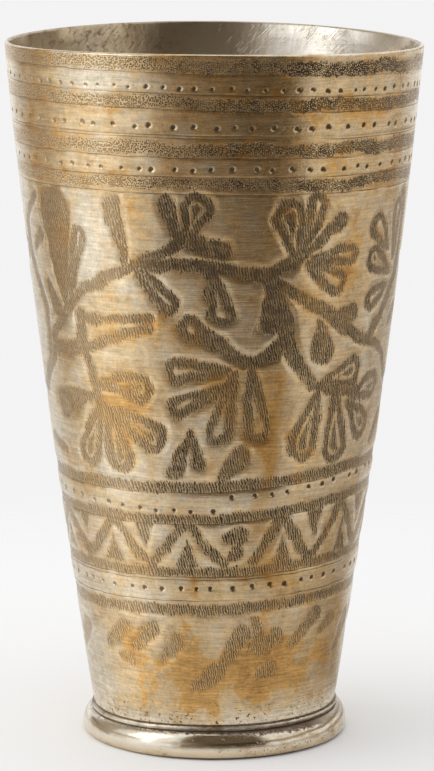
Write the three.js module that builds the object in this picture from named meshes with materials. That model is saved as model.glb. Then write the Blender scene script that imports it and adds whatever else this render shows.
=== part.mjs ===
// Lassi tumbler: a tapered sheet-brass drinking vessel, soldered to a base disc on a turned foot ring.
// Millimetres, +Z up, origin at the centre of the foot's underside.
import * as THREE from "three";

// Overall sizes
const height = 160;
const rimRadius = 47.5;

// Wall: one tapered sheet that swells a little between its base and its rim
const wallBaseRadius = 27.95;
const wallThickness = 1.1;
const wallSwell = 1.35;

// Base disc: the floor, with a rounded edge that shows between the wall and the foot
const discThickness = 1.2;
const discLip = 0.6;
const discEdgeBulge = 0.35;

// Foot ring: a half-round ring with a flat tread
const footHeight = 6.2;
const footShoulderInset = 0.25;
const footBulge = 2.3;
const footWidestHeight = 2.6;
const treadInset = 1.7;
const treadWidth = 4.2;

// Solder: concave rings in the two hidden corners, a thin film away from the faces that they climb
const innerFilletLeg = 1.6;
const underFilletLeg = 1.2;
const filletTip = 0.15;
const solderFilm = 0.1;

// Smoothness of the turned faces
const turns = 80;
const wallSteps = 10;
const rimSteps = 6;
const footSteps = 6;
const edgeSteps = 6;
const filletSteps = 4;

// Heights where the pieces sit on each other
const discBottom = footHeight;
const discTop = discBottom + discThickness;
const rimCentre = height - wallThickness / 2;

// Radii that line up with the wall
const discRadius = wallBaseRadius + discLip;
const footShoulderRadius = discRadius - footShoulderInset;
const footRadius = footShoulderRadius + footBulge;
const treadRadius = footRadius - treadInset;
const boreRadius = treadRadius - treadWidth;

const silverPlate = { color: 0xb9b2a2, metalness: 0.9, roughness: 0.34 };
const wornBrass = { color: 0xb08d55, metalness: 0.9, roughness: 0.4 };
const greySolder = { color: 0x8e8c86, metalness: 0.8, roughness: 0.5 };

function point(radius, z) {
  return new THREE.Vector2(radius, z);
}

// Points along part of an ellipse in the section plane, its start left to the caller
function arc(centre, radiusAcross, radiusUp, startAngle, endAngle, steps) {
  const clockwise = endAngle < startAngle;
  const curve = new THREE.EllipseCurve(
    centre.x, centre.y, radiusAcross, radiusUp, startAngle, endAngle, clockwise,
  );
  return curve.getPoints(steps).slice(1);
}

// A turned solid from a section that runs anticlockwise, with radius to the right and height upwards
function turnedPiece(name, section, finish) {
  const geometry = new THREE.LatheGeometry(section, turns);
  geometry.rotateX(Math.PI / 2);
  const mesh = new THREE.Mesh(geometry, new THREE.MeshStandardMaterial(finish));
  mesh.name = name;
  return mesh;
}

function closed(section) {
  return [...section, section[0].clone()];
}

// Outside of the wall: a straight taper with a parabolic swell
function wallOuterRadius(z) {
  const along = (z - discTop) / (height - discTop);
  const taper = wallBaseRadius + (rimRadius - wallBaseRadius) * along;
  return taper + 4 * wallSwell * along * (1 - along);
}

function wallInnerRadius(z) {
  return wallOuterRadius(z) - wallThickness;
}

function tumblerWall() {
  const levels = [];
  for (let step = 0; step <= wallSteps; step += 1) {
    levels.push(discTop + ((rimCentre - discTop) * step) / wallSteps);
  }
  const outside = levels.map((z) => point(wallOuterRadius(z), z));
  const inside = levels.map((z) => point(wallInnerRadius(z), z)).reverse();
  const rimMiddle = point(wallOuterRadius(rimCentre) - wallThickness / 2, rimCentre);
  const rim = arc(rimMiddle, wallThickness / 2, wallThickness / 2, 0, Math.PI, rimSteps).slice(0, -1);
  return turnedPiece("tumbler_wall", closed([...outside, ...rim, ...inside]), silverPlate);
}

function baseDisc() {
  const edgeRadius = discRadius - discEdgeBulge;
  const edgeMiddle = point(edgeRadius, discBottom + discThickness / 2);
  const edge = arc(edgeMiddle, discEdgeBulge, discThickness / 2, -Math.PI / 2, Math.PI / 2, edgeSteps);
  const section = [point(0, discBottom), point(edgeRadius, discBottom), ...edge, point(0, discTop)];
  return turnedPiece("base_disc", section, wornBrass);
}

function footRing() {
  const lowerMiddle = point(treadRadius, footWidestHeight);
  const upperMiddle = point(footShoulderRadius, footWidestHeight);
  const upperHeight = footHeight - footWidestHeight;
  const section = [
    point(boreRadius, 0),
    point(treadRadius, 0),
    ...arc(lowerMiddle, treadInset, footWidestHeight, -Math.PI / 2, 0, footSteps),
    ...arc(upperMiddle, footBulge, upperHeight, 0, Math.PI / 2, footSteps),
    point(boreRadius, footHeight),
  ];
  return turnedPiece("foot_ring", closed(section), silverPlate);
}

// A concave solder ring: it lies on the flat face at flatZ and climbs faceRadius(z) upwards or downwards
function solderFillet(name, faceRadius, flatZ, leg, direction) {
  const tipZ = flatZ + direction * leg;
  const heel = point(faceRadius(flatZ) - solderFilm, flatZ);
  const top = point(faceRadius(tipZ) - solderFilm, tipZ);
  const topTip = point(top.x - filletTip, tipZ);
  const toe = point(heel.x - leg, flatZ);
  const hollowMiddle = point(toe.x, tipZ);
  const hollowAcross = topTip.x - toe.x;
  const hollowUp = leg - filletTip;
  const hollow = arc(hollowMiddle, hollowAcross, hollowUp, 0, (-direction * Math.PI) / 2, filletSteps);
  const section = [heel, top, topTip, ...hollow, toe];
  if (direction < 0) {
    section.reverse();
  }
  return turnedPiece(name, closed(section), greySolder);
}

const tumbler = new THREE.Group();
tumbler.add(
  tumblerWall(),
  baseDisc(),
  footRing(),
  solderFillet("inner_solder_fillet", wallInnerRadius, discTop, innerFilletLeg, 1),
  solderFillet("under_solder_fillet", () => boreRadius, discBottom, underFilletLeg, -1),
);

export default tumbler;
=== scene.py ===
import math
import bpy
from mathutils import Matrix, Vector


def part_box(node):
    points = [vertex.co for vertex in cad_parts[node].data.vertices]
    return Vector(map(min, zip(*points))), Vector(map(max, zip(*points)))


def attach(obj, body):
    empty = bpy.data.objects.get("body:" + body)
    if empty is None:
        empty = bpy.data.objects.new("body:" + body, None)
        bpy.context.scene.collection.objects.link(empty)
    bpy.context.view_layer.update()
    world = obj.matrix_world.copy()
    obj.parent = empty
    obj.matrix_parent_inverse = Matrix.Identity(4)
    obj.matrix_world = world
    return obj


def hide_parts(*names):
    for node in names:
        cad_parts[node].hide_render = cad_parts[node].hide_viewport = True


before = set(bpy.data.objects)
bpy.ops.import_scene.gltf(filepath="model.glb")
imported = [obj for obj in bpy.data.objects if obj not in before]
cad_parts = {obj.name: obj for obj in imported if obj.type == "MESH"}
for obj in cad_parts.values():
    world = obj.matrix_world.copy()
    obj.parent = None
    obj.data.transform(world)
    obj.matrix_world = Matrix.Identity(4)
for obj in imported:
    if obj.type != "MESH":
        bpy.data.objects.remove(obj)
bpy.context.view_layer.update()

from types import SimpleNamespace

import bpy
import numpy as np
from mathutils import Vector

# Units: shapes are worked out in millimetres and degrees, and scaled to metres when a mesh is made
MM = 0.001
TURN = 2 * math.pi


def box_mm(node):
    low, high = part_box(node)
    return np.array(low) / MM, np.array(high) / MM


# Sizes taken from the frame
WALL_LOW, WALL_HIGH = box_mm("tumbler_wall")
DISC_LOW, DISC_HIGH = box_mm("base_disc")
FOOT_LOW, FOOT_HIGH = box_mm("foot_ring")
WALL_BASE, RIM_TOP = WALL_LOW[2], WALL_HIGH[2]
DISC_BOTTOM, DISC_TOP = DISC_LOW[2], DISC_HIGH[2]
FOOT_BOTTOM, FOOT_TOP = FOOT_LOW[2], FOOT_HIGH[2]
RIM_RADIUS = WALL_HIGH[0]
DISC_RADIUS = DISC_HIGH[0]
FOOT_RADIUS = FOOT_HIGH[0]

# Section of the wall
WALL_THICKNESS = 1.1
WALL_SWELL = 1.35
DISC_LIP = 0.6
WALL_BASE_RADIUS = DISC_RADIUS - DISC_LIP
RIM_CENTRE = RIM_TOP - WALL_THICKNESS / 2

# Section of the base disc, whose middle is closed by triangles inside a small hub
DISC_BULGE = 0.35
DISC_EDGE = DISC_RADIUS - DISC_BULGE
DISC_HUB = 1.2

# Section of the foot
FOOT_BULGE = 2.3
FOOT_WIDEST = 1.8
TREAD_INSET = 1.7
TREAD_WIDTH = 4.2
FOOT_SHOULDER = FOOT_RADIUS - FOOT_BULGE
TREAD_RADIUS = FOOT_RADIUS - TREAD_INSET
BORE_RADIUS = TREAD_RADIUS - TREAD_WIDTH

# Solder rings
INNER_LEG = 1.6
UNDER_LEG = 1.2
SOLDER_TIP = 0.15
SOLDER_FILM = 0.1

# Hand-made unevenness: waves of the rim that die out downwards, the dip of the seat that dies out upwards,
# and how far tool marks move each surface
RIM_SADDLE = 0.5
RIM_BACKWARDS = 0.65
RIM_LEFT = 0.4
RIM_WAVE_FROM = 110
SEAT_DIP = 0.7
SEAT_DIP_TO = 40
RIM_NICKS = 0.06
INSIDE_HAMMERING = 0.04
FOOT_DENTS = 0.035
FOOT_GRAIN = 0.015
DISC_WOBBLE = 0.05

# Meshes: rows of the wall are close together where there are dots and lines
WALL_COLUMNS = 840
FOOT_COLUMNS = 480
DISC_COLUMNS = 360
SOLDER_COLUMNS = 240
FINE_ROW = 0.24
FINE_REACH = 1.6
PLAIN_ROW = 0.4
INSIDE_ROW = 3.0
RIM_ROWS = 8
# Shares of the height of the wall's unrolled map
OUTSIDE_MAP = (0.26, 0.99)
INSIDE_MAP = (0.25, 0.0)

# Relief of the wall, which starts a little above its base, and how far the marks follow its sway
RELIEF_FROM = 12
BAND_DEPTH = 0.2
BAND_SHOULDER = 1.4
LINE_DEPTH = 0.05
STIPPLE_DEPTH = 0.04
STIPPLE_STEP = 0.55
DOT_DEPTH = 0.36
DOT_LIP = 0.02
DOT_SHADOW = 0.22
DENT_DEPTH = 0.1
SWAY = 0.5
LINE_SWAY = 0.25
BORDER_SWAY = 0.6
STIPPLE_SWAY = 0.5
FAR = 6.0

# Punch strokes: rows, how many go round, how far they lean, and what changes higher up and at the left
STROKE_ROW = 2.1
STROKES = 370
MORE_ABOVE = 70
FEWER_LEFT = 80
STROKES_ABOVE = 67
STROKES_LEFT = -0.35
STROKE_LEAN = 2.2
STIPPLE_PITCH = 0.46

# Sides of each half where the marks are rubbed faint, how much warmer the metal is at the top, how much wear
# takes the plating away, and how little dirt shines
FAINT_SIDE = -58
FAINT_SIDE_FADE = (20, 50)
FAINT_EDGE = 74
FAINT_EDGE_FADE = (6, 24)
FAINT_LOW_FADE = (28, 36)
WARM_TOP = 0.15
WARM_TOP_FADE = (122, 140)
BARE_WEAR = 0.41
DIRT_SPECULAR = 0.2

# Rows of ornament: height at the front, tilt towards the right, lift at both sides and drop round one turn,
# the last ones left out where they are nothing
SCRIBED_LINES = [
    (155.8, -0.8), (151.3, -0.9), (147.9, -0.9), (142.4, -0.6), (141.8, -0.6), (137.5, -0.5), (133.3, -0.4),
    (129.6, -0.4), (62.7, 1.5, 0.9), (55.4, 1.9, 1.8), (43, 0.9, 0.3), (42.3, 0.9, 0.3), (37.4, 1, 0.3),
]
# Stippled bands and hatched borders: the row and half its width
STIPPLE_BANDS = [((157.5, -0.8), 1.5), ((149.5, -0.9), 1.35), ((139.5, -0.5), 1.4), ((131.7, -0.5), 1.25)]
HATCHED_BORDERS = [
    ((64, 1.5, 0.9), 1.25), ((56.5, 1.9, 1.8), 1.05), ((44.2, 0.9, 0.3), 1), ((35.3, 1.2, 0.3), 1.15),
]
# Dot rows: the row, how many dots, and their radius. Dots stray from their places and sizes, and are bigger
# at the right
DOT_SPREAD = 0.2
DOT_STRAY = 0.25
DOT_SIZES = (0.85, 1.15)
DOT_GROWTH = 0.22
DOT_REACH = 2.5
DOT_ROWS = [
    ((152.6, -0.9), 80, 0.56),
    ((144.2, -0.7), 64, 0.68),
    ((135, -0.5), 66, 0.66),
    ((59.8, 1.3, 2.2, 3.2), 52, 0.68),
    ((40.1, 0.9, 0.3), 52, 0.68),
]
# Wedges in the corners of the zigzag: angle, tip height, base height, half width
WEDGES = [
    (-57, 50.5, 56, 2.2), (-41.5, 51, 45, 2.9), (-26, 49.8, 55.5, 2.2), (-10, 51.5, 45, 2.8),
    (26, 52.5, 45, 2.6), (40, 50.6, 57.5, 2.9), (56, 54, 45.8, 2.4), (67.5, 53, 58.5, 2.2),
    (82, 52, 46, 2.6), (95, 51, 57, 2.4), (108, 51, 45.5, 2.6),
]

# Stems of the vine and the two runs of the zigzag, as (half width, [(angle, height), ...])
STEMS = [
    (1.15, [(-72, 55.5), (-62, 49.5), (-54, 46.5), (-41, 55), (-36, 53), (-28, 47), (-21, 47.3), (-10.5, 55),
            (-4, 51), (4, 46)]),
    (1.15, [(15, 46.3), (24, 55.3), (30, 53), (39, 46.3), (52, 56.5), (56, 56.5), (66, 48), (70, 47.5),
            (82, 57), (95, 47), (108, 55.5)]),
    (1.3, [(-92, 78), (-80, 82), (-65, 90), (-60, 97), (-52, 102), (-46, 106), (-38, 109), (-24, 113.5),
           (-10, 118.5), (-4, 119.5)]),
    (1.5, [(-24, 113.5), (-10, 114), (0, 113.5), (8, 112.5), (14, 112), (20, 113), (27, 116)]),
    (1.2, [(-65, 127), (-72, 123), (-75, 118), (-74, 112), (-70, 107), (-66, 101), (-66, 95), (-67, 90),
           (-73, 86), (-76, 82)]),
    (1.7, [(-46, 101), (-47, 95), (-52, 93.5), (-60, 93)]),
    (1.2, [(-46, 93), (-43, 89), (-42, 84), (-42, 79)]),
    (1.1, [(-46, 100.5), (-34, 101), (-20, 101.6)]),
    (1, [(-47, 93), (-34, 96.5), (-20, 99.6)]),
    (1.5, [(20, 101), (22, 97), (18, 94), (12, 92.5), (6, 94), (0, 98), (-4, 99)]),
    (1.6, [(15, 111), (21, 104), (23, 99), (24, 95), (28, 91), (33.5, 86.3)]),
    (1.5, [(13, 111.5), (20, 109), (27, 106.5), (33, 104), (39, 101.5), (45, 98.5), (52, 96), (58, 95),
           (62, 97.5), (67, 101), (72, 105.5), (80, 110), (90, 112)]),
    (1.1, [(53, 95.5), (62, 93.5), (70, 91), (76, 86), (84, 82)]),
    (1.2, [(34, 86), (40, 85), (48, 83.5), (54, 84)]),
    (1.2, [(73, 127), (77, 121), (76, 113), (74, 107)]),
]
# Leaves as (base angle, base height, tip angle, tip height, width): hatched all over, with a hatched edge,
# or with a hatched edge and core
SOLID_LEAVES = [
    (4.5, 52.5, 13, 52.8, 4.2), (6, 47.6, 11, 50, 3.2), (-27, 114.5, -31, 129, 4.8),
    (-10, 119, -14.5, 130, 3.4), (-53, 103, -55, 130, 11), (-69, 115, -62, 119, 3), (-62, 108, -57, 100, 4.4),
    (-45, 83, -65, 79.5, 7), (-64, 69, -78, 71, 3), (-7.5, 76.5, -14.5, 65.5, 4), (-7, 75, -4.5, 68, 2.8),
    (1.5, 65, 11, 73, 4.8), (-8, 118.5, 5.5, 117, 4.2), (17, 110, 17.5, 98.2, 5.2),
    (29, 116.5, 41.5, 124.5, 3.8), (39, 101, 51, 101.5, 4.6), (34, 100.5, 38, 90.8, 6), (74, 97, 82, 101, 4),
    (70, 70, 79, 77, 3),
]
RING_LEAVES = [
    (-50, 106, -43, 121.5, 5), (1, 96, -10.5, 101.5, 5.6), (4, 91, -15.5, 90, 5.8), (4, 87, -15.3, 81, 5.2),
    (6, 90, 1, 74, 6.2), (11.5, 91, 15, 74.3, 6.4), (-23.5, 113.5, -11, 103.5, 5.4), (-1, 113, 3, 100.5, 6.4),
    (27, 117, 32, 129.5, 5.4), (30, 115, 48, 115, 5.4), (28, 114, 43.5, 107.3, 6.6), (65, 115, 54, 123, 7),
    (71, 112, 70, 126, 6), (67, 106.5, 54, 103, 6.2), (88, 112, 94, 124, 6.5),
]
CORE_LEAVES = [
    (-8, 119, -3.5, 130.5, 7.6), (-41, 86.3, -19.5, 85.6, 6.9), (-42, 81, -50, 67, 7.6),
    (-39, 81, -32, 66, 7.8), (-38, 80.8, -16, 73.6, 7.2), (24.5, 114.5, 20.5, 128.3, 8.4),
    (38, 86, 55.5, 89, 7.6), (52, 82.5, 69.5, 84.5, 7), (50, 81, 64.5, 73, 7), (44, 84, 46.5, 67.5, 8),
    (36, 84, 29.5, 69, 8.2), (68, 109.5, 53, 114.5, 6.8), (90, 111, 104, 115, 6), (84, 82, 96, 88, 7),
    (84, 82, 93, 71, 7.4),
]
# Worn flower band at the foot: leaves that are hatched all over
LOW_LEAVES = [
    (-51, 25, -37, 31, 4), (-35, 25, -24, 31.5, 4), (-44, 23, -34, 22, 3), (-22, 23, -14, 29, 3.5),
    (-8, 16.5, 3, 22, 4), (1, 20.5, 13, 31, 3.6), (16, 33, 20, 25, 3.6), (19, 25, 29, 29.5, 3.8),
    (20, 19.5, 28, 21, 3.2), (33, 25, 48, 33.5, 3.8), (50, 28, 60, 31, 3.2), (64, 22, 74, 30, 3.6),
    (80, 30, 88, 22, 3.6), (-78, 22, -66, 29, 3.8),
]
LEAF_BASE_HALF = 0.8
LEAF_EDGE = 2.1
LEAF_CORE = 2.8
LEAF_TAPER = 0.7
# Single cuts, from angle and height to angle and height
CUTS = [
    (-45, 101.4, -36, 102.6), (-60, 69.3, -53, 70.2), (-16, 74.8, -12.5, 73.2), (9.5, 88, 9.2, 78),
    (13, 104, 12.6, 98), (-6.5, 70.8, -2, 70.5), (34, 69.8, 42, 69.5), (44.5, 127.5, 46, 125.5),
    (41, 117.5, 44, 118.6), (19, 71, 24, 71.4), (14, 24, 14.6, 30), (20, 22.2, 27, 22.6),
]

# Places where the plating is worn warm, or kept silver below zero: angle, height, half width in degrees,
# half height, amount
# The two tall silver places at the sides, at -78 and 74 degrees, are a painted reflection of the white
# surroundings along the grazing edges
WORN_AND_SHEEN_PLACES = [
    (-55, 125, 10, 25, 0.22), (-78, 85, 11, 90, -0.55), (74, 85, 9, 90, -0.3), (-38, 104, 10, 7, 0.28),
    (-33, 97, 13, 6, 0.36), (-31, 79, 15, 13, 0.54), (-23, 122, 3, 9, 0.4), (-40, 117, 5, 13, -0.5),
    (-33, 154, 7, 4, -0.6), (-25, 93, 12, 3, -0.25), (-42, 67, 6, 4, -0.3), (25, 120, 32, 30, 0.2),
    (22, 80, 26, 14, 0.17), (19, 72, 3, 14, 0.5), (20, 47, 30, 10, 0.28), (45, 111, 7, 8, 0.35),
    (31, 107, 5, 4, 0.3), (2, 88, 6, 4, 0.4), (-3, 69, 4, 4, 0.35), (-41, 28, 10, 5, 0.42),
    (-35, 50, 14, 14, 0.24), (-28, 18, 17, 9, 0.42), (-10, 18, 8, 11, 0.55), (1, 11, 4, 7, 0.36),
    (25, 20, 22, 10, 0.75), (52, 24, 8, 10, 0.35), (13, 31, 6, 3, -0.2), (0, 7, 90, 3, -0.4),
    (-62, 18, 8, 14, -0.3), (48, 147, 13, 3, 0.2),
]

# Studio, in metres
CAMERA_PLACE = (0.000612, -0.784, 0.213312)
CAMERA_PITCH = 80.39
CAMERA_LENS = 161.54
FLOOR_HALF = 1.6
FLOOR_FADE = (0.08, 0.32)
LIGHT_PLACE = (-1.3, -0.1, 0.75)
LIGHT_AIM = (0, 0, 0.08)
LIGHT_SIZE = (1.6, 1.2)
LIGHT_POWER = 7.0
# Brightness of the surroundings for the camera, in reflections and as a light
SEEN_WHITE = 0.9
REFLECTED_WHITE = 1.0
AMBIENT_WHITE = 0.94
# Paper that reflections see: angle from the front, brightness at the near or low edge and at the far or high
# one. It fades out at both ends
FLOOR_SHADE = [
    (-170, 0.8, 0.72), (-156, 0.78, 0.68), (-134, 0.8, 0.7), (-114, 0.77, 0.47), (-102, 0.78, 0.62),
    (-90, 0.82, 0.86), (-78, 0.92, 0.97), (-66, 1, 1), (-54, 1, 0.88), (-42, 0.84, 0.6),
    (-30, 0.68, 0.4), (-18, 0.7, 0.3), (6, 0.74, 0.14), (18, 0.68, 0.08), (34, 0.62, 0.08),
    (48, 0.62, 0.14), (52, 0.62, 0.7), (64, 0.6, 0.72), (78, 0.54, 0.66), (90, 0.49, 0.58),
    (116, 0.42, 0.62), (120, 0.44, 0.4), (136, 0.7, 0.46), (156, 0.92, 0.44), (170, 0.7, 0.65),
]
FLAG_SHADE = [
    (-150, 0.3, 1), (-136, 0.27, 0.5), (-124, 0.31, 0.4), (-111, 0.37, 0.4), (-104, 0.41, 0.4),
    (-98, 0.44, 0.75), (-86, 0.5, 0.92), (-76, 0.64, 1), (-66, 0.95, 1), (-62, 1, 1),
    (-54, 1, 1), (-44, 0.76, 1), (-37, 0.6, 1), (-30, 0.46, 0.3), (-23, 0.32, 0.14),
    (-15, 0.18, 0.11), (-6, 0.08, 0.13), (16, 0.02, 0.14), (38, 0.02, 0.13), (45, 0.09, 0.12),
    (51, 0.22, 1), (70, 0.36, 1), (95, 0.28, 1), (136, 0.2, 1), (158, 0.2, 1),
    (166, 0.4, 1),
]
# Their sections: radius and height in millimetres, and share of the second brightness
FLOOR_SECTION = [(45, 1, 0), (150, 1, 0.03), (220, 1, 0.33), (330, 1, 0.97), (450, 1, 1), (1000, 1, 1)]
FLAG_SECTION = [
    (1000, 1, 1), (1000, 130, 1), (1000, 150, 0), (1000, 280, 0), (1000, 310, 1), (1000, 1200, 1),
    (700, 2200, 1),
]
# Brightness from which a card is left open: never on the floor, where the flag is white
FLOOR_OPEN = 2.0
FLAG_OPEN = 1.0
CARD_STEP = 2.0

# Colours
BLACK = (0.0, 0.0, 0.0)
WHITE = (1.0, 1.0, 1.0)
PALE_PAPER = (0.93, 0.934, 0.938)
PAPER_TINT = (1.0, 0.76, 0.50)
SILVER = (0.76, 0.66, 0.50)
BRIGHT_SILVER = (0.82, 0.76, 0.65)
WARM_SILVER = (0.70, 0.515, 0.29)
BRASS = (0.68, 0.40, 0.135)
DEEP_BRASS = (0.48, 0.25, 0.08)
DARK_BRASS = (0.22, 0.15, 0.09)
# Painted highlight for the glints between strokes and specks
GLINT = (0.80, 0.60, 0.34)
GRIME = (0.66, 0.53, 0.38)
PATINA = (0.03, 0.019, 0.012)
# Rust, also used for the painted contact shadow under the foot
RUST_AND_SHADOW = (0.085, 0.048, 0.024)
# Tarnish, also used for the painted dark reflection inside
TARNISH_AND_DARK_REFLECTION = (0.2, 0.145, 0.095)
BROWN_FOOT = (0.46, 0.32, 0.18)
BROWN_STAIN = (0.16, 0.10, 0.055)
TIN = (0.94, 0.89, 0.80)
WARM_TIN = (0.50, 0.375, 0.215)
# Colours of the painted shade inside, higher and lower down
UPPER_SHADED_TIN = (0.36, 0.30, 0.22)
LOWER_SHADED_TIN = (0.74, 0.67, 0.56)
WORN_EDGE = (0.45, 0.38, 0.29)
DARK_SOLDER = (0.3, 0.28, 0.25)
LIGHT_SOLDER = (0.5, 0.47, 0.42)


def smooth(low, high, value):
    """Rises smoothly from 0 at low to 1 at high."""
    share = np.clip((value - low) / (high - low), 0, 1)
    return share * share * (3 - 2 * share)


def wrapped(angle):
    """The same angle between minus and plus half a turn."""
    return np.mod(angle + math.pi, TURN) - math.pi


def uneven(seed, angle, height, cells_round, cell_height):
    """Smooth hand-made unevenness from -1 to 1, seamless all round."""
    source = np.random.default_rng(seed)
    lattice = source.uniform(-1, 1, (int(np.max(height) / cell_height) + 3, cells_round))
    across = np.mod(angle, TURN) / TURN * cells_round
    up = height / cell_height
    column = np.floor(across).astype(int)
    row = np.floor(up).astype(int)
    across_share = smooth(0, 1, across - column)
    up_share = smooth(0, 1, up - row)
    left = column % cells_round
    right = (column + 1) % cells_round
    below = lattice[row, left] * (1 - across_share) + lattice[row, right] * across_share
    above = lattice[row + 1, left] * (1 - across_share) + lattice[row + 1, right] * across_share
    return below * (1 - up_share) + above * up_share


def wall_radius(height):
    """Radius of the outside: a straight taper with a parabolic swell."""
    along = (height - WALL_BASE) / (RIM_TOP - WALL_BASE)
    taper = WALL_BASE_RADIUS + (RIM_RADIUS - WALL_BASE_RADIUS) * along
    return taper + 4 * WALL_SWELL * along * (1 - along)


def wall_inside(height):
    return wall_radius(height) - WALL_THICKNESS


def foot_bore(height):
    """Radius of the foot's bore, the same at every height."""
    return BORE_RADIUS


def rim_wave(angle):
    """How far the hand-trimmed rim rises above its mean height."""
    return RIM_SADDLE * np.cos(2 * angle) - RIM_BACKWARDS * np.cos(angle) - RIM_LEFT * np.sin(angle)


def seat_dip(angle):
    """How far the seat of the wall lies below its level place, towards the left."""
    return SEAT_DIP * smooth(0.1, 1.0, -np.sin(angle))


def settled(height, angle):
    """Height of a place on the wall after the rim's waves and the seat's dip."""
    lift = rim_wave(angle) * smooth(RIM_WAVE_FROM, RIM_TOP, height)
    return height + lift - seat_dip(angle) * smooth(SEAT_DIP_TO, WALL_BASE, height)


def row_height(angle, base, tilt, lift=0.0, drop=0.0):
    """Height of a row that was laid out by eye, at each angle."""
    share = np.mod(angle, TURN) / TURN
    side = np.sin(angle)
    return base + tilt * side + lift * side * side + drop * (0.5 - share)


def wall_rows():
    """Heights of the rows of the outside."""
    busy = [row[0] for row, *_ in DOT_ROWS] + [row[0] for row in SCRIBED_LINES]
    heights = [WALL_BASE]
    while heights[-1] < RIM_CENTRE - PLAIN_ROW:
        nearest = min(abs(heights[-1] - level) for level in busy)
        heights.append(heights[-1] + (FINE_ROW if nearest < FINE_REACH else PLAIN_ROW))
    heights.append(RIM_CENTRE)
    return np.array(heights)


def rounded_path(given, steps=6):
    """Points along a smooth curve through the given ones."""
    given = np.vstack([2 * given[0] - given[1], given, 2 * given[-1] - given[-2]])
    path = []
    for before, start, end, after in zip(given, given[1:], given[2:], given[3:]):
        for step in range(steps):
            t = step / steps
            bend = (end - before) * t + (2 * before - 5 * start + 4 * end - after) * t ** 2
            path.append(start + 0.5 * (bend + (3 * start - before - 3 * end + after) * t ** 3))
    path.append(given[-2])
    return path


def distance_to_segment(across, up, start, end):
    """Distance from each place to a straight piece, and how far along it the nearest point lies."""
    along = end - start
    share = (across - start[0]) * along[0] + (up - start[1]) * along[1]
    share = np.clip(share / (along @ along), 0, 1)
    away = np.hypot(across - start[0] - share * along[0], up - start[1] - share * along[1])
    return away, share


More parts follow.
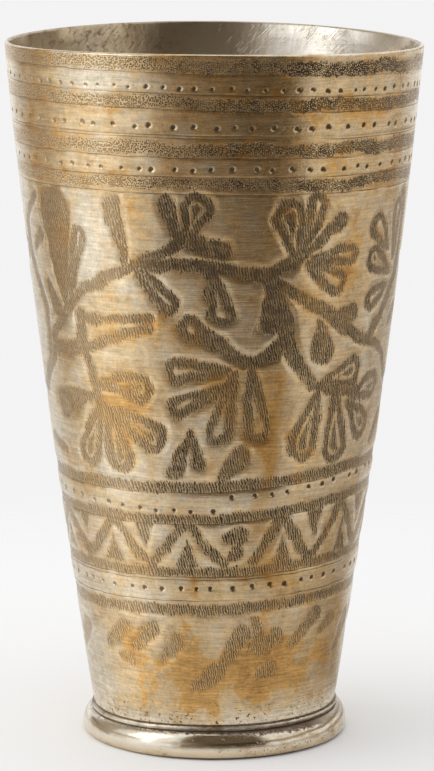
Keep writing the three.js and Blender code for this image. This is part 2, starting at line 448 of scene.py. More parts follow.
class Ornament:
    """Fields over the unrolled outside of the wall that say where the marks are."""

    def __init__(self, angles, heights):
        self.angle = angles[None, :]
        self.height = heights[:, None]
        self.radius = wall_radius(self.height)
        shape = (len(heights), len(angles))
        # Millimetres inside the hatched marks and the stippled bands, below zero outside them
        self.band, self.stipple = np.full((2, *shape), -FAR)
        # Millimetres from the nearest scribed line, and radii from the middle of the nearest dot and from the
        # middle of its dark part, dirt with a painted shadow, which lies a little above and to the left
        self.line, self.dot, self.hole_dirt_and_shadow = np.full((3, *shape), FAR)
        self.wear_and_sheen = np.zeros(shape) + WARM_TOP * smooth(*WARM_TOP_FADE, self.height)
        side = self.degrees_from(FAINT_SIDE)
        faint_side = 1 - smooth(*FAINT_SIDE_FADE, side)
        faint_edge = 0.6 * (1 - smooth(*FAINT_EDGE_FADE, self.degrees_from(FAINT_EDGE)))
        faint_low = (1 - smooth(*FAINT_LOW_FADE, self.height)) * (0.75 - 0.5 * smooth(40, 55, side))
        self.faint = np.maximum(np.maximum(faint_side, faint_edge), faint_low)
        self.sway_across = SWAY * uneven(11, self.angle, self.height, 90, 3.0)
        self.sway_up = SWAY * uneven(12, self.angle, self.height, 90, 3.0)

    def degrees_from(self, place):
        """Degrees round the wall from a side of its nearer half."""
        return np.degrees(np.abs(wrapped(2 * (self.angle - math.radians(place)))) / 2)

    def window(self, angle, half_angle, low, high):
        """Index of the part near a place, with distances round the wall and heights there."""
        near = np.abs(wrapped(self.angle[0] - angle)) <= half_angle
        rows = np.flatnonzero((self.height[:, 0] >= low) & (self.height[:, 0] <= high))
        index = np.ix_(rows, np.flatnonzero(near))
        across = wrapped(self.angle[:, near] - angle) * self.radius[rows]
        up = np.broadcast_to(self.height[rows], across.shape)
        return index, across + self.sway_across[index], up + self.sway_up[index]

    def near(self, points, turn, margin):
        """The window round a run of angles and heights, and its points there, in millimetres."""
        angles, heights = np.array(points, float).T
        angles = np.radians(angles + turn)
        middle = (angles.min() + angles.max()) / 2
        half_angle = (angles.max() - angles.min()) / 2 + margin / WALL_BASE_RADIUS
        window = self.window(middle, half_angle, heights.min() - margin, heights.max() + margin)
        return *window, np.stack([(angles - middle) * wall_radius(heights), heights], axis=1)

    def away_from(self, row, sway, step=0.0):
        """Millimetres above or below a row that follows a share of the sway, and its own steps."""
        return np.abs(self.height - row_height(self.angle, *row) - sway * self.sway_up - step)

    def add_band(self, index, inside):
        self.band[index] = np.maximum(self.band[index], inside)

    def add_stipple(self, row, half):
        step = STIPPLE_STEP * uneven(int(row[0]), self.angle, 0.0 * self.angle, 34, 10.0)
        self.stipple = np.maximum(self.stipple, half - self.away_from(row, STIPPLE_SWAY, step))

    def add_dots(self, seed, row, count, radius):
        source = np.random.default_rng(seed)
        for number in range(count):
            angle = TURN * (number + source.uniform(-DOT_SPREAD, DOT_SPREAD)) / count
            height = row_height(angle, *row) + source.uniform(-DOT_STRAY, DOT_STRAY)
            size = radius * source.uniform(*DOT_SIZES) * (1 + DOT_GROWTH * math.sin(angle))
            reach = DOT_REACH * size
            around = reach / wall_radius(height)
            index, across, up = self.window(angle, around, height - reach, height + reach)
            across = (across - self.sway_across[index]) / size
            up = (up - self.sway_up[index] - height) / size
            self.dot[index] = np.minimum(self.dot[index], np.hypot(across, up))
            # Painted shadow: the dark part sits up and towards the lamp's side of each dot, where the pit's
            # own rim shades it, and swaps sides round the back
            shadow = np.hypot(across + DOT_SHADOW * math.cos(angle + 0.5), up - DOT_SHADOW)
            self.hole_dirt_and_shadow[index] = np.minimum(self.hole_dirt_and_shadow[index], shadow)

    def add_cut(self, cut, turn):
        index, across, up, (start, end) = self.near([cut[:2], cut[2:]], turn, 1)
        away, share = distance_to_segment(across, up, start, end)
        self.line[index] = np.minimum(self.line[index], away + 0.1 * np.abs(share - 0.5))

    def add_stem(self, half, points, turn):
        index, across, up, places = self.near(points, turn, 3 * half)
        curve = rounded_path(places)
        away = FAR
        for start, end in zip(curve, curve[1:]):
            away = np.minimum(away, distance_to_segment(across, up, start, end)[0])
        self.add_band(index, half - away)

    def leaf(self, leaf, turn):
        """Index of the part near a leaf, and millimetres inside its outline there."""
        width = leaf[4]
        index, across, up, (base, tip) = self.near([leaf[:2], leaf[2:4]], turn, 2 * width)
        end = base + (tip - base) * max(0.1, 1 - width / 2 / np.hypot(*(tip - base)))
        away, share = distance_to_segment(across, up, base, end)
        return index, LEAF_BASE_HALF + (width / 2 - LEAF_BASE_HALF) * share ** LEAF_TAPER - away

    def add_leaves(self, turn):
        for leaf in SOLID_LEAVES + LOW_LEAVES:
            self.add_band(*self.leaf(leaf, turn))
        for leaf in RING_LEAVES + CORE_LEAVES:
            index, inside = self.leaf(leaf, turn)
            self.add_band(index, np.minimum(inside, LEAF_EDGE - inside))
        for leaf in CORE_LEAVES:
            index, inside = self.leaf(leaf, turn)
            self.add_band(index, inside - LEAF_CORE)

    def add_wedge(self, wedge, turn):
        """A triangle whose tip stands or hangs away from its base."""
        angle, tip, base, half = wedge
        low, high = min(tip, base) - 2, max(tip, base) + 2
        index, across, up = self.window(math.radians(angle + turn), 2 * half / WALL_BASE_RADIUS, low, high)
        share = (up - tip) / (base - tip)
        flank = (half * share - np.abs(across)) * abs(base - tip) / math.hypot(base - tip, half)
        self.add_band(index, np.minimum(flank, (1 - share) * abs(base - tip)))

    def add_wear_and_sheen(self, place, turn):
        angle, height, half_angle, half_height, amount = place
        sideways = wrapped(self.angle - math.radians(angle + turn)) / math.radians(half_angle)
        upwards = (self.height - height) / half_height
        self.wear_and_sheen = self.wear_and_sheen + amount * np.exp(-sideways ** 2 - upwards ** 2)

    def draw(self):
        for row, half in STIPPLE_BANDS:
            self.add_stipple(row, half)
        for row in SCRIBED_LINES:
            self.line = np.minimum(self.line, self.away_from(row, LINE_SWAY))
        for row, half in HATCHED_BORDERS:
            self.band = np.maximum(self.band, half - self.away_from(row, BORDER_SWAY))
        for number, (row, count, radius) in enumerate(DOT_ROWS):
            self.add_dots(30 + number, row, count, radius)
        for turn in (0, 180):
            for half, points in STEMS:
                self.add_stem(half, points, turn)
            self.add_leaves(turn)
            for wedge in WEDGES:
                self.add_wedge(wedge, turn)
            for cut in CUTS:
                self.add_cut(cut, turn)
            for place in WORN_AND_SHEEN_PLACES:
                self.add_wear_and_sheen(place, turn)

    def relief(self):
        """Millimetres by which the marks move the outside outwards."""
        sunk = BAND_DEPTH * smooth(-BAND_SHOULDER, 0.5, self.band)
        scribed = LINE_DEPTH * (1 - smooth(0.05, 0.35, self.line))
        pounced = STIPPLE_DEPTH * smooth(-0.4, 0.4, self.stipple)
        punched = DOT_DEPTH * (1 - smooth(0.0, 1.05, self.dot))
        lip = DOT_LIP * smooth(0.8, 1.15, self.dot) * (1 - smooth(1.15, 1.7, self.dot))
        dents = DENT_DEPTH * uneven(21, self.angle, self.height, 18, 16.0)
        dents = dents + 0.4 * DENT_DEPTH * uneven(22, self.angle, self.height, 50, 6.0)
        return dents + lip - sunk - scribed - pounced - punched


# Meshes

def ring_angles(columns):
    return np.linspace(-math.pi, math.pi, columns, endpoint=False)


def turned_points(radius, height, angles):
    """Points of rings, from radius and height for each ring and angle."""
    shape = np.broadcast_shapes(np.shape(radius), np.shape(height), (1, len(angles)))
    radius = np.broadcast_to(radius, shape)
    height = np.broadcast_to(height, shape)
    return np.stack([radius * np.sin(angles), -radius * np.cos(angles), height], axis=-1)


def ring_faces(rings, columns, closed):
    """Four-sided faces between neighbouring rings."""
    starts = np.arange(rings if closed else rings - 1)
    lower = starts[:, None] * columns
    upper = (starts[:, None] + 1) % rings * columns
    column = np.arange(columns)[None, :]
    following = (column + 1) % columns
    corners = [lower + column, lower + following, upper + following, upper + column]
    return np.stack(np.broadcast_arrays(*corners), axis=-1).reshape(-1, 4)


def make_piece(name, points, quads, triangles=np.empty((0, 3), int)):
    """A smooth piece from points in millimetres and faces."""
    mesh = bpy.data.meshes.new(name)
    flat = np.ascontiguousarray(points.reshape(-1, 3) * MM, dtype=np.float32)
    corners = np.concatenate([quads.ravel(), triangles.ravel()]).astype(np.int32)
    starts = np.concatenate([np.arange(0, quads.size, 4), np.arange(quads.size, len(corners), 3)])
    mesh.vertices.add(len(flat))
    mesh.vertices.foreach_set("co", flat.ravel())
    mesh.loops.add(len(corners))
    mesh.loops.foreach_set("vertex_index", corners)
    mesh.polygons.add(len(starts))
    mesh.polygons.foreach_set("loop_start", starts.astype(np.int32))
    mesh.update(calc_edges=True)
    mesh.shade_smooth()
    return linked(name, mesh)


def linked(name, data):
    """A new object in the scene."""
    thing = bpy.data.objects.new(name, data)
    bpy.context.scene.collection.objects.link(thing)
    return thing


def add_map(piece, low, high, columns):
    """Unrolls the faces of a turned piece for its baked colours, each strip of them between two levels."""
    left = np.arange(columns)[None, :] / columns
    right = left + 1 / columns
    low, high = low[:, None], high[:, None]
    corners = [(left, low), (right, low), (right, high), (left, high)]
    pairs = [np.stack(np.broadcast_arrays(across, up), axis=-1) for across, up in corners]
    places = np.ascontiguousarray(np.stack(pairs, axis=-2), dtype=np.float32)
    piece.data.uv_layers.new(name="OFBake").data.foreach_set("uv", places.ravel())


def add_field(piece, name, values):
    """Stores one number per point of the mesh, for the materials."""
    field = piece.data.attributes.new(name, "FLOAT", "POINT")
    field.data.foreach_set("value", np.ascontiguousarray(values, dtype=np.float32).ravel())


def add_seat(piece, angles):
    """Stores how far the seat dips at each point, ring by ring, for the materials."""
    add_field(piece, "seat", np.resize(seat_dip(angles), len(piece.data.vertices)))


def section_levels(section):
    """Levels of the rings in the unrolled map, by their distance along the closed section."""
    loop = np.vstack([section, section[:1]])
    lengths = np.hypot(*np.diff(loop, axis=0).T)
    return np.concatenate([[0], np.cumsum(lengths)]) / lengths.sum()


def arc(middle, across, up, start, end, steps):
    """Points along part of an ellipse in the section, from angles in degrees."""
    turn = np.radians(np.linspace(start, end, steps + 1))
    return np.stack([middle[0] + across * np.cos(turn), middle[1] + up * np.sin(turn)], axis=1)


def straight(start, end, steps):
    """Points along a straight stretch of the section."""
    share = np.linspace(0, 1, steps + 1)[:, None]
    return np.array(start) * (1 - share) + np.array(end) * share


def joined(*stretches):
    """Stretches of a section in one list, without the points that they share."""
    points = [stretches[0]]
    points += [stretch[1:] for stretch in stretches[1:]]
    return np.vstack(points)


# Pieces

def wall_points(ornament, angles, heights):
    """Rings of the wall, up the outside, over the rim and down the inside."""
    around = angles[None, :]
    level = heights[:, None]
    outside = wall_radius(level) + ornament.relief() * smooth(WALL_BASE, RELIEF_FROM, level)

    turn = np.radians(np.linspace(0, 180, RIM_ROWS + 2)[1:-1])[:, None]
    half = WALL_THICKNESS / 2
    nicks = RIM_NICKS * uneven(41, around, 0.0 * around, 60, 10.0)
    rim = wall_radius(RIM_CENTRE) - half + half * np.cos(turn) + nicks
    rim_height = RIM_CENTRE + half * np.sin(turn) + rim_wave(around)

    low = np.linspace(RIM_CENTRE, WALL_BASE, int((RIM_CENTRE - WALL_BASE) / INSIDE_ROW))[:, None]
    hammered = INSIDE_HAMMERING * uneven(42, around, low, 44, 6.0) * smooth(WALL_BASE, 20, low)
    stretches = [
        turned_points(outside, settled(level, around), angles),
        turned_points(rim, rim_height, angles),
        turned_points(wall_inside(low) + hammered, settled(low, around), angles),
    ]
    return np.concatenate(stretches)


def tumbler_wall():
    angles = ring_angles(WALL_COLUMNS)
    heights = wall_rows()
    ornament = Ornament(angles, heights)
    ornament.draw()
    points = wall_points(ornament, angles, heights)
    outer_rows, rings = len(heights), len(points)
    piece = make_piece("chased_wall", points, ring_faces(rings, WALL_COLUMNS, True))
    outer = np.linspace(*OUTSIDE_MAP, outer_rows + 1)
    inner = np.linspace(*INSIDE_MAP, rings - outer_rows + 1)
    low = np.concatenate([outer[:-1], inner[:-1]])
    high = np.concatenate([outer[1:], inner[1:]])
    add_map(piece, low, high, WALL_COLUMNS)
    fields = {"band": -FAR, "stipple": -FAR, "line": FAR, "hole_dirt_and_shadow": FAR, "wear_and_sheen": 0.0, "faint": 0.0}
    for name, empty in fields.items():
        values = np.full((rings, WALL_COLUMNS), empty)
        values[:outer_rows] = getattr(ornament, name)
        add_field(piece, name, values)
    add_seat(piece, angles)
    rim = np.zeros((rings, WALL_COLUMNS))
    rim[outer_rows:outer_rows + RIM_ROWS] = 1.0
    add_field(piece, "rim", rim)
    lining = np.zeros((rings, WALL_COLUMNS), np.int32)
    lining[outer_rows + RIM_ROWS // 2:] = 1
    piece.data.materials.append(plated_outside())
    piece.data.materials.append(tinned_inside())
    piece.data.polygons.foreach_set("material_index", lining.ravel())
    return piece


def foot_ring():
    section = joined(
        straight((BORE_RADIUS, FOOT_BOTTOM), (TREAD_RADIUS, FOOT_BOTTOM), 8),
        arc((TREAD_RADIUS, FOOT_WIDEST), TREAD_INSET, FOOT_WIDEST, -90, 0, 14),
        arc((FOOT_SHOULDER, FOOT_WIDEST), FOOT_BULGE, FOOT_TOP - FOOT_WIDEST, 0, 90, 18),
        straight((FOOT_SHOULDER, FOOT_TOP), (BORE_RADIUS, FOOT_TOP), 5),
        straight((BORE_RADIUS, FOOT_TOP), (BORE_RADIUS, FOOT_BOTTOM), 8),
    )[:-1]
    angles = ring_angles(FOOT_COLUMNS)
    around = angles[None, :]
    radius, height = section[:, :1], section[:, 1:]
    wear_and_sheen = FOOT_DENTS * uneven(51, around, height, 40, 3.0)
    wear_and_sheen = wear_and_sheen + FOOT_GRAIN * uneven(52, around, height, 130, 1.0)
    wear_and_sheen = wear_and_sheen * smooth(BORE_RADIUS, FOOT_SHOULDER, radius)
    sunk = height * (1 - seat_dip(angles) / FOOT_TOP)
    points = turned_points(radius + wear_and_sheen, sunk, angles)
    levels = section_levels(section)
    piece = make_piece("turned_foot", points, ring_faces(len(section), FOOT_COLUMNS, True))
    add_map(piece, levels[:-1], levels[1:], FOOT_COLUMNS)
    add_seat(piece, angles)
    piece.data.materials.append(plated_foot())
    return piece


def base_disc():
    middle = (DISC_EDGE, (DISC_BOTTOM + DISC_TOP) / 2)
    section = joined(
        straight((DISC_HUB, DISC_BOTTOM), (DISC_EDGE, DISC_BOTTOM), 24),
        arc(middle, DISC_BULGE, (DISC_TOP - DISC_BOTTOM) / 2, -90, 90, 10),
        straight((DISC_EDGE, DISC_TOP), (DISC_HUB, DISC_TOP), 24),
    )
    angles = ring_angles(DISC_COLUMNS)
    radius, height = section[:, :1], section[:, 1:]
    wobble = DISC_WOBBLE * uneven(61, angles[None, :], height, 70, 2.0)
    wobble = wobble * smooth(DISC_EDGE - 0.5, DISC_EDGE, radius)
    sunk = height - seat_dip(angles) * smooth(8, 20, radius)
    rings = turned_points(radius + wobble, sunk, angles).reshape(-1, 3)
    points = np.vstack([rings, [(0, 0, DISC_BOTTOM), (0, 0, DISC_TOP)]])
    column = np.arange(DISC_COLUMNS)
    following = (column + 1) % DISC_COLUMNS
    last = len(rings) - DISC_COLUMNS
    below = np.stack([np.full(DISC_COLUMNS, len(rings)), following, column], axis=1)
    above = np.stack([last + column, last + following, np.full(DISC_COLUMNS, len(rings) + 1)], axis=1)
    faces = ring_faces(len(section), DISC_COLUMNS, False)
    piece = make_piece("floor_disc", points, faces, np.vstack([below, above]))
    away = np.hypot(points[:, 0], points[:, 1])
    add_field(piece, "edge", smooth(DISC_EDGE - 1.0, DISC_EDGE - 0.4, away))
    add_seat(piece, angles)
    piece.data.materials.append(tarnished_disc())
    return piece


def solder_ring(name, face_radius, flat, leg, direction):
    """A concave ring of solder that lies on a flat face and climbs a round one."""
    climb = flat + direction * leg
    heel = (face_radius(flat) - SOLDER_FILM, flat)
    crest = (face_radius(climb) - SOLDER_FILM, climb)
    toe = (heel[0] - leg, flat)
    hollow_across = crest[0] - SOLDER_TIP - toe[0]
    hollow = arc((toe[0], climb), hollow_across, leg - SOLDER_TIP, 0, -90 * direction, 8)
    section = np.vstack([heel, crest, hollow, toe])
    if direction < 0:
        section = section[::-1]
    angles = ring_angles(SOLDER_COLUMNS)
    points = turned_points(section[:, :1], section[:, 1:] - seat_dip(angles), angles)
    piece = make_piece(name, points, ring_faces(len(section), SOLDER_COLUMNS, True))
    piece.data.materials.append(dull_solder(name))
    return piece


# Materials

class Value:
    """A number or colour from a shader node. Numbers add and multiply like plain ones, by further nodes."""

    def __init__(self, graph, socket):
        self.graph = graph
        self.socket = socket

    def __add__(self, other):
        return self.graph.math("ADD", self, other)

    def __sub__(self, other):
        return self.graph.math("SUBTRACT", self, other)

    def __rsub__(self, other):
        return self.graph.math("SUBTRACT", other, self)

    def __mul__(self, other):
        return self.graph.math("MULTIPLY", self, other)

    def __abs__(self):
        return self.graph.math("ABSOLUTE", self)

    __radd__ = __add__
    __rmul__ = __mul__

    def span(self, low, high, start=0, end=1):
        """Runs smoothly from start, where the number is low, to end, where it is high."""
        inputs = dict(enumerate((self, low, high, start, end)))
        return self.graph.value("MapRange", 0, inputs, interpolation_type="SMOOTHSTEP")

    def mix(self, first, second):
        """The first colour where the number is 0, and the second where it is 1."""
        return self.graph.blend(self, first, second, "MIX")

    def tinted(self, tint, amount=1):
        """The colour, multiplied by another."""
        return self.graph.blend(amount, self, tint, "MULTIPLY")


class Graph:
    """A material, or a world, whose shader nodes are added and linked one by one."""

    def __init__(self, name, kind=bpy.data.materials, shader="Principled BSDF"):
        self.owner = kind.new(name)
        self.owner.use_nodes = True
        self.nodes = self.owner.node_tree.nodes
        self.links = self.owner.node_tree.links
        self.shader = self.nodes[shader]
        self.place = self.value("TexCoord", "Object", {})
        # Millimetres to the right, to the back and up, and the angle from the front in radians
        axes = self.add("SeparateXYZ", {0: self.place}).outputs
        self.right, self.back, self.up = [Value(self, axis) * (1 / MM) for axis in axes]
        self.turn = self.math("ARCTAN2", self.right, self.back * -1.0)

    def add(self, kind, inputs, **settings):
        node = self.nodes.new("ShaderNode" + kind)
        for name, setting in settings.items():
            setattr(node, name, setting)
        for name, value in inputs.items():
            self.plug(node.inputs[name], value)
        return node

    def value(self, kind, output, inputs, **settings):
        """Adds a node and gives one of its outputs."""
        return Value(self, self.add(kind, inputs, **settings).outputs[output])

    def plug(self, socket, value):
        if isinstance(value, Value):
            self.links.new(value.socket, socket)
        elif isinstance(value, tuple):
            socket.default_value = (*value, 1.0)
        else:
            socket.default_value = value

    def set(self, name, value):
        self.plug(self.shader.inputs[name], value)

    def surface(self, colour, metallic, roughness, specular=0.5):
        self.set("Base Color", colour)
        self.set("Metallic", metallic)
        self.set("Roughness", roughness)
        self.set("Specular IOR Level", specular)

    def field(self, name):
        return self.value("Attribute", "Fac", {}, attribute_name=name)

    def math(self, operation, *values):
        return self.value("Math", 0, dict(enumerate(values)), operation=operation)

    def most(self, first, *others):
        for other in others:
            first = self.math("MAXIMUM", first, other)
        return first

    def blend(self, factor, first, second, way):
        inputs = {"Factor": factor, 6: first, 7: second}
        return self.value("Mix", 2, inputs, data_type="RGBA", blend_type=way)

    def sized(self, across, up):
        """Object coordinates counted in cells of that size in millimetres."""
        node = self.add("VectorMath", {0: self.place}, operation="MULTIPLY")
        node.inputs[1].default_value = (1 / MM / across, 1 / MM / across, 1 / MM / up)
        return Value(self, node.outputs[0])

    def noise(self, across, up, detail, rough, shift=0):
        """Soft random spots of that size in millimetres, from 0 to 1."""
        place = self.sized(across, up)
        inputs = {"Vector": place, "W": shift, "Scale": 1, "Detail": detail, "Roughness": rough}
        return self.value("TexNoise", "Fac", inputs, noise_dimensions="4D")

    def cells(self, place, dimensions):
        """Distance to the nearest middle of some scattered cells, and a random number for that cell."""
        inputs = {"Vector": place, "Scale": 1.0, "Randomness": 0.8}
        outputs = self.add("TexVoronoi", inputs, voronoi_dimensions=dimensions).outputs
        luck = self.value("SeparateColor", 0, {0: Value(self, outputs["Color"])})
        return Value(self, outputs["Distance"]), luck

    def flat(self, across, up):
        """A place on a flat sheet."""
        return self.value("CombineXYZ", "Vector", {"X": across, "Y": up})

    def unrolled(self, radius, pitch):
        """Place on the unrolled wall, counted in pitches."""
        return self.flat(self.turn * (radius / pitch), self.up * (1 / pitch))

    def streaks(self, radius, length, width):
        """Short streaks that lean on the unrolled wall, from 0 to 1."""
        around = self.turn * radius
        place = self.flat((around - self.up) * (1 / length), (around + self.up) * (1 / width))
        return self.value("TexNoise", "Fac", {"Vector": place, "Scale": 1.0}, noise_dimensions="2D")

    def chance(self, value):
        """A random number from 0 to 1 for each whole value."""
        return self.value("TexWhiteNoise", "Value", {"W": value}, noise_dimensions="1D")

    def level(self):
        """Height in millimetres, counted as if the seat didn't dip."""
        return self.up + self.field("seat")

    def bump(self, height):
        """A finer relief than the mesh holds, from a height in millimetres."""
        inputs = {"Strength": 1.0, "Distance": MM, "Height": height}
        self.set("Normal", self.value("Bump", "Normal", inputs))

    def turning(self, amount):
        """Reflections spread up and down, as on metal that was brushed round and round."""
        self.set("Tangent", self.value("Tangent", "Tangent", {}, direction_type="RADIAL", axis="Z"))
        self.set("Anisotropic", amount)
        self.set("Anisotropic Rotation", 0.25)


def wall_grain(graph):
    """The random spots that the parts of the wall's material share."""
    ragged = graph.noise(0.6, 0.8, 3, 0.6, 15)
    return SimpleNamespace(
        fine=graph.noise(14, 0.26, 3, 0.6),
        broad=graph.noise(26, 1.7, 3, 0.55, 3),
        blotch=graph.noise(8, 8, 8, 0.68, 7),
        cloud=graph.noise(22, 24, 4, 0.55, 9),
        runs=graph.noise(3, 14, 5, 0.62, 11),
        speck=graph.noise(0.9, 0.5, 2, 0.6, 17),
        pressure=graph.noise(0.5, 1.8, 2, 0.5, 21),
        scratch=graph.noise(7, 0.5, 4, 0.65, 23).span(0.34, 0.66),
        mottle=graph.noise(2.4, 1.8, 5, 0.7, 25).span(0.34, 0.66),
        ragged=ragged,
        rough_edge=(ragged - 0.5) * 0.9,
    )


def wall_wear(graph, grain, height):
    """How warm the plating is, where brass shows through it, and the dirt round the marks."""
    halo = graph.most(graph.field("band").span(-0.8, 0.2), graph.field("stipple").span(-1.8, 0.2))
    stains = (grain.runs - 0.5) * 0.8 + (grain.blotch - 0.5) * 1.6 + (grain.cloud - 0.5) * 0.9
    flecks = (grain.mottle - 0.5) * 0.14 + (grain.speck - 0.5) * 0.2
    wear_and_sheen = graph.field("wear_and_sheen") + stains + halo * 0.1 + flecks
    soft = height.span(32, 44, 0.03, 0.15)
    bare = wear_and_sheen.span(BARE_WEAR - soft, BARE_WEAR + soft)
    return wear_and_sheen, bare, halo


def hatching(graph):
    """Upright punch strokes in rows, 0 between them and 1 on them, and a random number for each stroke."""
    drift = graph.noise(6, 6, 3, 0.6, 27) * 7
    row = graph.math("ROUND", (graph.up + drift) * (1 / STROKE_ROW))
    above = graph.math("GREATER_THAN", graph.up, STROKES_ABOVE)
    left = graph.math("LESS_THAN", graph.turn, STROKES_LEFT)
    strokes = STROKES + above * MORE_ABOVE - left * FEWER_LEFT
    wander = graph.noise(1, 1.6, 3, 0.7) * 14
    phase = graph.turn * strokes + graph.up * STROKE_LEAN + wander + graph.chance(row) * TURN
    number = graph.math("ROUND", phase * (1 / TURN))
    return graph.math("COSINE", phase).span(-0.5, 0.05), graph.chance(number + row * 0.37)


def chased_strokes(graph, grain, height):
    """Dirt in the punch strokes and rubbed over the middle of the marks, and painted glints between strokes.
    """
    stroke, chance = hatching(graph)
    inside = graph.field("band") + grain.rough_edge
    in_band = (inside + (chance - 0.5) * 0.6).span(-0.3, 0.25)
    core = inside.span(-0.15, 0.55)
    pressed = grain.pressure.span(0.3, 0.5, 0.6, 1) * chance.span(0, 0.4, 0.7, 1)
    struck = stroke * in_band * pressed * height.span(29, 35, 0.86, 1)
    filled = height.span(31, 37, 0.2, 0.75) + height.span(60, 70, 0, 0.25)
    filled = filled + height.span(92, 108, 0, 0.4)
    rubbed = core * filled * grain.mottle.span(0.1, 0.9, 0.2, 0.6)
    # Painted glint: the metal between strokes is lightened
    glint = in_band * (1 - stroke) * core.span(0, 1, 0.9, 0.6)
    return struck + rubbed * (1 - struck), glint


def pounced_stipple(graph, grain):
    """Dirt in the stippled bands, crowded towards the right, and painted glints between its specks."""
    away, luck = graph.cells(graph.unrolled(RIM_RADIUS, STIPPLE_PITCH), "2D")
    dense = graph.turn.span(-0.7, 0.7, 0, 0.6) + grain.blotch.span(0.4, 0.6, 0, 0.5)
    crowded = dense.span(0.35, 0.85)
    open_cell = graph.math("GREATER_THAN", luck, crowded)
    dots = away.span(0.3, 0.4, 1, 0)
    net = (away + luck * 0.2).span(0.28, 0.42)
    pounce = (1 - open_cell) * net + open_cell * dots
    ground = (1 - crowded) * dense * 0.22
    inside = graph.field("stipple") + grain.rough_edge + (luck - 0.5) * 0.8
    in_band = inside.span(-0.1, 0.2)
    # The second result is a painted glint between the specks
    return in_band * (ground + (1 - ground) * pounce), in_band * (1 - pounce) * 0.5


def wall_pits(graph, grain, height):
    """Pits in the runs of wear and, smaller and closer, just above the foot."""
    pitted = graph.most(grain.runs.span(0.52, 0.62), height.span(10, 17, 1, 0))
    single = graph.noise(1.3, 0.9, 3, 0.6, 29).span(0.66, 0.71) * pitted * 0.9
    pepper = graph.noise(0.9, 0.6, 3, 0.6, 31).span(0.58, 0.64) * height.span(8.5, 16, 0.9, 0)
    return graph.most(single, pepper * grain.runs.span(0.42, 0.52))


def wall_lines(graph, grain, height, faint):
    """Dirt in the scribed lines and hair-fine scratches, dirt and a painted shadow in the dots, and a dark
    line in the corner above the disc.
    """
    line = graph.field("line").span(0.05, 0.2, 1, 0) * grain.broad.span(0.34, 0.5) * 0.75
    # Dirt and a painted shadow in the dots
    dot = graph.field("hole_dirt_and_shadow").span(0.6, 0.95, 1, 0) * faint.span(0, 1, 0.92, 0.6)
    hair = abs(graph.noise(20, 1.1, 2, 0.5, 19) - 0.5).span(0.002, 0.01, 1, 0)
    crevice = (height + grain.ragged * 0.8).span(7.75, 8.05, 0.8, 0)
    return graph.most(line, dot, hair * grain.blotch.span(0.45, 0.6) * 0.3, crevice)


def worn_metal(graph, grain, height, wear_and_sheen, bare, halo):
    """Plating that goes warm, brass where it has worn through, dirt, and streaks from brushing."""
    plate = wear_and_sheen.span(-0.25, 0.3).mix(SILVER, WARM_SILVER)
    brass = (wear_and_sheen.span(0.5, 0.9) * grain.speck.span(0.4, 0.65)).mix(BRASS, DEEP_BRASS)
    metal = (bare * 0.9).mix(plate, brass)
    dirt = halo * 0.3 + grain.blotch.span(0.5, 0.72, 0, 0.5)
    metal = dirt.mix(metal, metal.tinted(GRIME))
    brushed = (graph.noise(7, 0.3, 3, 0.7, 33) - 0.5) * bare.span(0, 1, 0.4, 0.9)
    brushed = brushed * height.span(25, 35, 1.4, 1)
    shade = 0.36 + grain.scratch * 0.26 + grain.mottle * 0.26 + grain.broad * 0.24 + grain.ragged * 0.52
    return metal.tinted(shade + brushed)


def plated_outside():
    graph = Graph("plated_outside")
    grain = wall_grain(graph)
    height = graph.level()
    faint = graph.field("faint")
    wear_and_sheen, bare, halo = wall_wear(graph, grain, height)
    strokes, stroke_glint = chased_strokes(graph, grain, height)
    specks, speck_glint = pounced_stipple(graph, grain)
    kept = faint.span(0, 1, 1, 0.7) * grain.cloud.span(0.3, 0.75, 1, 0.85)
    kept = kept * bare.span(0, 1, 1, 0.75)
    hatch = strokes * kept
    stipple = specks * kept
    pit = wall_pits(graph, grain, height)
    dark = graph.most(hatch, stipple, pit, wall_lines(graph, grain, height, faint))
    metal = worn_metal(graph, grain, height, wear_and_sheen, bare, halo)
    # Painted highlight: glints between strokes and specks lighten the colour
    metal = graph.most(stroke_glint, speck_glint).mix(metal, GLINT)
    colour = dark.mix(metal, faint.mix(PATINA, BROWN_STAIN))
    roughness = 0.2 + grain.fine * 0.12 + bare * 0.08 + dark * 0.12
    graph.surface(colour, dark.span(0.6, 1, 1, 0.5), roughness, DIRT_SPECULAR)
    graph.turning(0.75)
    brushing = grain.fine * 0.022 + grain.broad * 0.04 + grain.scratch * 0.008 + grain.mottle * 0.012
    graph.bump(brushing - hatch * 0.06 - stipple * 0.05 - pit * 0.08)
    return graph.owner


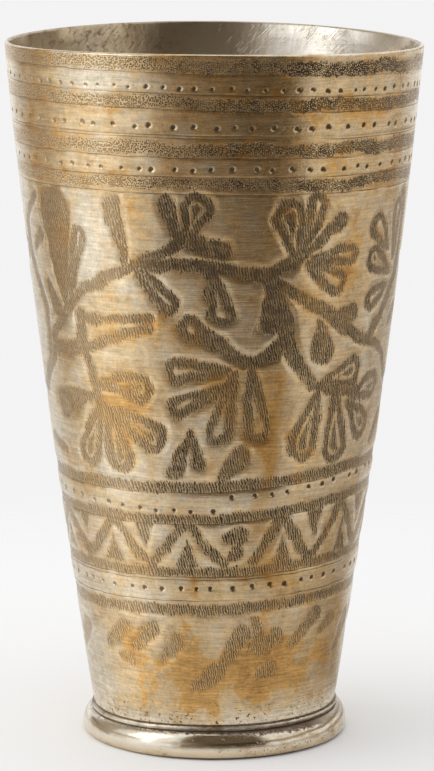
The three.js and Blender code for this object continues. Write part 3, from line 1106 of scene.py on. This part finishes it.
def tinned_inside():
    """Old tin, bright at the mouth and warm and stained at the left; painted shade darkens it further down
    and over the front half, and a painted dark reflection darkens a band down the middle.
    """
    graph = Graph("tinned_inside")
    fine = graph.noise(12, 0.4, 3, 0.6)
    hammer = graph.noise(1.6, 3.2, 2, 0.5, 13)
    stain = graph.noise(1.8, 1.6, 6, 0.7, 5)
    cloud = graph.noise(16, 18, 4, 0.55, 9)
    left = graph.right.span(0, -20) * 0.9
    tin = left.mix(TIN, WARM_TIN)
    tin = cloud.span(0.4, 0.7, 0, 0.5).mix(tin, SILVER)
    # Painted shade: the tin is darkened below the mouth and over the front half of the inside
    painted_shade = graph.most(graph.up.span(152, 146), graph.back.span(10, -20))
    shaded_tin = graph.up.span(136, 112).mix(UPPER_SHADED_TIN, LOWER_SHADED_TIN)
    tin = (painted_shade * 0.85).mix(tin, shaded_tin)
    # Painted dark reflection: a band running up and down a little left of the middle is darkened towards
    # tarnish
    tin = abs(graph.right + 5).span(6, 18, 0.36, 0).mix(tin, TARNISH_AND_DARK_REFLECTION)
    scraped = graph.streaks(RIM_RADIUS, 5, 0.55).span(0.56, 0.7) * cloud.span(0.42, 0.56)
    tin = (scraped * 0.3).mix(tin, TARNISH_AND_DARK_REFLECTION)
    tin = (graph.field("rim") * 0.75).mix(tin, WORN_EDGE)
    stained = stain.span(0.5, 0.64) * graph.most(cloud.span(0.46, 0.62), left) * 0.7
    graph.surface(stained.mix(tin, BROWN_STAIN), 1, 0.29 + stained * 0.2)
    graph.turning(0.5)
    graph.bump(fine * 0.018 + stain * 0.03 + hammer * 0.07 - scraped * 0.03)
    return graph.owner


def foot_rust_and_shadow(graph, height, stain, grain, right):
    """Brown dirt that climbs down from the joint, tarnish, and a painted contact shadow where the foot
    stands.
    """
    climb = height + (grain - 0.5) * 3.2 + right * 0.9
    flecks = graph.noise(0.5, 0.5, 2, 0.5, 12).span(0.4, 0.58, 0.6, 1)
    joint = climb.span(5.6, 6.2, 0, 0.95) * graph.most(flecks, height.span(5.6, 6), right * 0.9)
    cleaner_left = graph.right.span(-28, -6, 0.55, 1)
    cleaner_right = graph.right.span(21, 28, 1, 0.45)
    tarnish = (stain + grain * 0.3 + right * 0.03).span(0.7, 0.94, 0, 0.45)
    # Painted shadow: a dark line along the bottom edge where the foot stands
    contact_shadow = height.span(0.3, 0.75, 0.95, 0)
    return graph.most(joint * cleaner_left * cleaner_right, tarnish, contact_shadow)


def plated_foot():
    """Polished plating, warmer low down and browner towards the right."""
    graph = Graph("plated_foot")
    fine = graph.noise(14, 0.3, 3, 0.6)
    stain = graph.noise(5, 1.6, 5, 0.65, 4)
    grain = graph.noise(1, 0.8, 4, 0.65, 8)
    height = graph.level()
    right = graph.right.span(-4, 20)
    low_right = right * height.span(2.9, 2.2) * grain.span(0.42, 0.5)
    pit = graph.cells(graph.sized(0.7, 0.6), "3D")[0].span(0.16, 0.3, 1, 0)
    pit = pit * graph.most(stain.span(0.56, 0.66), low_right)
    rust_and_shadow = foot_rust_and_shadow(graph, height, stain, grain, right)
    metal = stain.span(0.35, 0.65).mix(BRIGHT_SILVER, SILVER)
    metal = height.span(1.2, 2.8, 0.55, 0).mix(metal, WARM_SILVER)
    metal = (right * stain.span(0.35, 0.6, 0.1, 0.5)).mix(metal, BROWN_FOOT)
    # Rust and tarnish, with the painted contact shadow along the bottom edge
    metal = rust_and_shadow.mix(metal, RUST_AND_SHADOW)
    metal = (pit * 0.8).mix(metal, PATINA)
    graph.surface(metal, rust_and_shadow.span(0.3, 1, 1, 0.5), 0.11 + rust_and_shadow * 0.35 + fine * 0.08)
    graph.turning(0.3)
    graph.bump(fine * 0.01 + stain * 0.015 - pit * 0.1)
    return graph.owner


def tarnished_disc():
    """Stained plating with dark corners above and below the rounded edge, and grime at its right."""
    graph = Graph("tarnished_disc")
    stain = graph.noise(8, 3, 5, 0.6)
    cloud = graph.noise(9, 9, 4, 0.6, 6)
    grain = graph.noise(1.2, 0.5, 3, 0.6, 8)
    height = graph.level() + (grain - 0.5) * 0.5
    grimy = graph.right.span(-20, -4) * height.span(6.8, 7, 0.96, 0)
    grimy = grimy * grain.span(0.3, 0.6, 1, 0.8)
    corners = graph.most(height.span(6.3, 6.5, 0.9, 0), height.span(7.2, 7.35, 0, 0.9), grimy)
    dark = corners * graph.field("edge") * graph.right.span(-28, -6, 0.6, 1)
    metal = cloud.span(0.35, 0.65).mix(BRIGHT_SILVER, SILVER)
    metal = stain.span(0.45, 0.7).mix(metal, DARK_BRASS)
    graph.surface(dark.mix(metal, RUST_AND_SHADOW), 1 - dark * 0.8, 0.25 + stain * 0.25, DIRT_SPECULAR)
    graph.bump(stain * 0.06)
    return graph.owner


def dull_solder(name):
    graph = Graph(name + "_metal")
    stain = graph.noise(2, 2, 4, 0.6)
    graph.surface(stain.mix(DARK_SOLDER, LIGHT_SOLDER), 0.9, 0.35 + stain * 0.3)
    graph.bump(stain * 0.15)
    return graph.owner


# Studio

def pale_floor():
    """A pale floor that fades out into the white background away from the object."""
    size = FLOOR_HALF
    corners = [(-size, -size, 0), (size, -size, 0), (size, size, 0), (-size, size, 0)]
    mesh = bpy.data.meshes.new("floor")
    mesh.from_pydata(corners, [], [(0, 1, 2, 3)])
    floor = linked("floor", mesh)
    graph = Graph("floor_paper")
    graph.surface(PALE_PAPER, 0, 0.9, 0)
    away = graph.value("VectorMath", "Value", {0: graph.place}, operation="LENGTH")
    graph.set("Alpha", away.span(*FLOOR_FADE, 1, 0))
    mesh.materials.append(graph.owner)


def card_paper(name):
    graph = Graph(name)
    shade = graph.field("shade")
    paper = shade.mix(BLACK, WHITE).tinted(PAPER_TINT, shade.span(0.1, 0.8, 1, 0))
    graph.surface(paper, 0, 1, 0)
    graph.set("Alpha", graph.field("cover"))
    return graph.owner


def graded_card(name, stops, section, open_from):
    """Paper that only reflections see, graded round the object, with gaps from a brightness upwards."""
    places, near, far = np.array(stops).T
    turn = np.arange(places[0], places[-1] + 1, CARD_STEP)
    radius, height, share = np.array(section, float).T[:, :, None]
    columns, rows = len(turn), len(section)
    points = turned_points(radius, height, np.radians(turn))
    faces = ring_faces(rows, columns, False).reshape(rows - 1, columns, 4)[:, :-1].reshape(-1, 4)
    card = make_piece(name, points, faces)
    ends = np.isin(places, places[[0, -1]])
    shade = cover = 0.0
    for level, part in ((near, 1 - share), (far, share)):
        shade = shade + np.interp(turn, places, level) * part
        cover = cover + np.interp(turn, places, (level < open_from) & ~ends) * part
    add_field(card, "shade", shade)
    add_field(card, "cover", cover)
    card.data.materials.append(card_paper(name + "_paper"))
    card.visible_camera = False
    card.visible_diffuse = False
    card.visible_shadow = False
    card.visible_transmission = False


def soft_light():
    lamp = bpy.data.lights.new("left_box", "AREA")
    lamp.shape = "RECTANGLE"
    lamp.size, lamp.size_y = LIGHT_SIZE
    lamp.energy = LIGHT_POWER
    light = linked("left_box", lamp)
    light.location = LIGHT_PLACE
    direction = Vector(LIGHT_PLACE) - Vector(LIGHT_AIM)
    light.rotation_euler = direction.to_track_quat("Z", "Y").to_euler()
    light.visible_camera = False


def white_surroundings():
    """A world that is white to the camera, bright in reflections and softer as a light."""
    graph = Graph("studio", bpy.data.worlds, "Background")
    rays = graph.add("LightPath", {}).outputs
    seen = Value(graph, rays["Is Camera Ray"])
    reflected = Value(graph, rays["Is Glossy Ray"])
    unseen = AMBIENT_WHITE + reflected * (REFLECTED_WHITE - AMBIENT_WHITE)
    graph.set("Strength", unseen + seen * (SEEN_WHITE - unseen))
    graph.set("Color", WHITE)
    bpy.context.scene.world = graph.owner


def camera():
    lens = bpy.data.cameras.new("camera")
    lens.lens = CAMERA_LENS
    eye = linked("camera", lens)
    eye.location = CAMERA_PLACE
    eye.rotation_euler = (math.radians(CAMERA_PITCH), 0, 0)
    bpy.context.scene.camera = eye


def place_piece(piece, node):
    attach(piece, "root")
    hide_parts(node)


place_piece(tumbler_wall(), "tumbler_wall")
place_piece(foot_ring(), "foot_ring")
place_piece(base_disc(), "base_disc")
inner = solder_ring("inner_seal", wall_inside, DISC_TOP, INNER_LEG, 1)
place_piece(inner, "inner_solder_fillet")
under = solder_ring("under_seal", foot_bore, DISC_BOTTOM, UNDER_LEG, -1)
place_piece(under, "under_solder_fillet")

pale_floor()
graded_card("floor_card", FLOOR_SHADE, FLOOR_SECTION, FLOOR_OPEN)
graded_card("flag", FLAG_SHADE, FLAG_SECTION, FLAG_OPEN)
soft_light()
white_surroundings()
camera()
bpy.context.scene.view_settings.view_transform = "Standard"
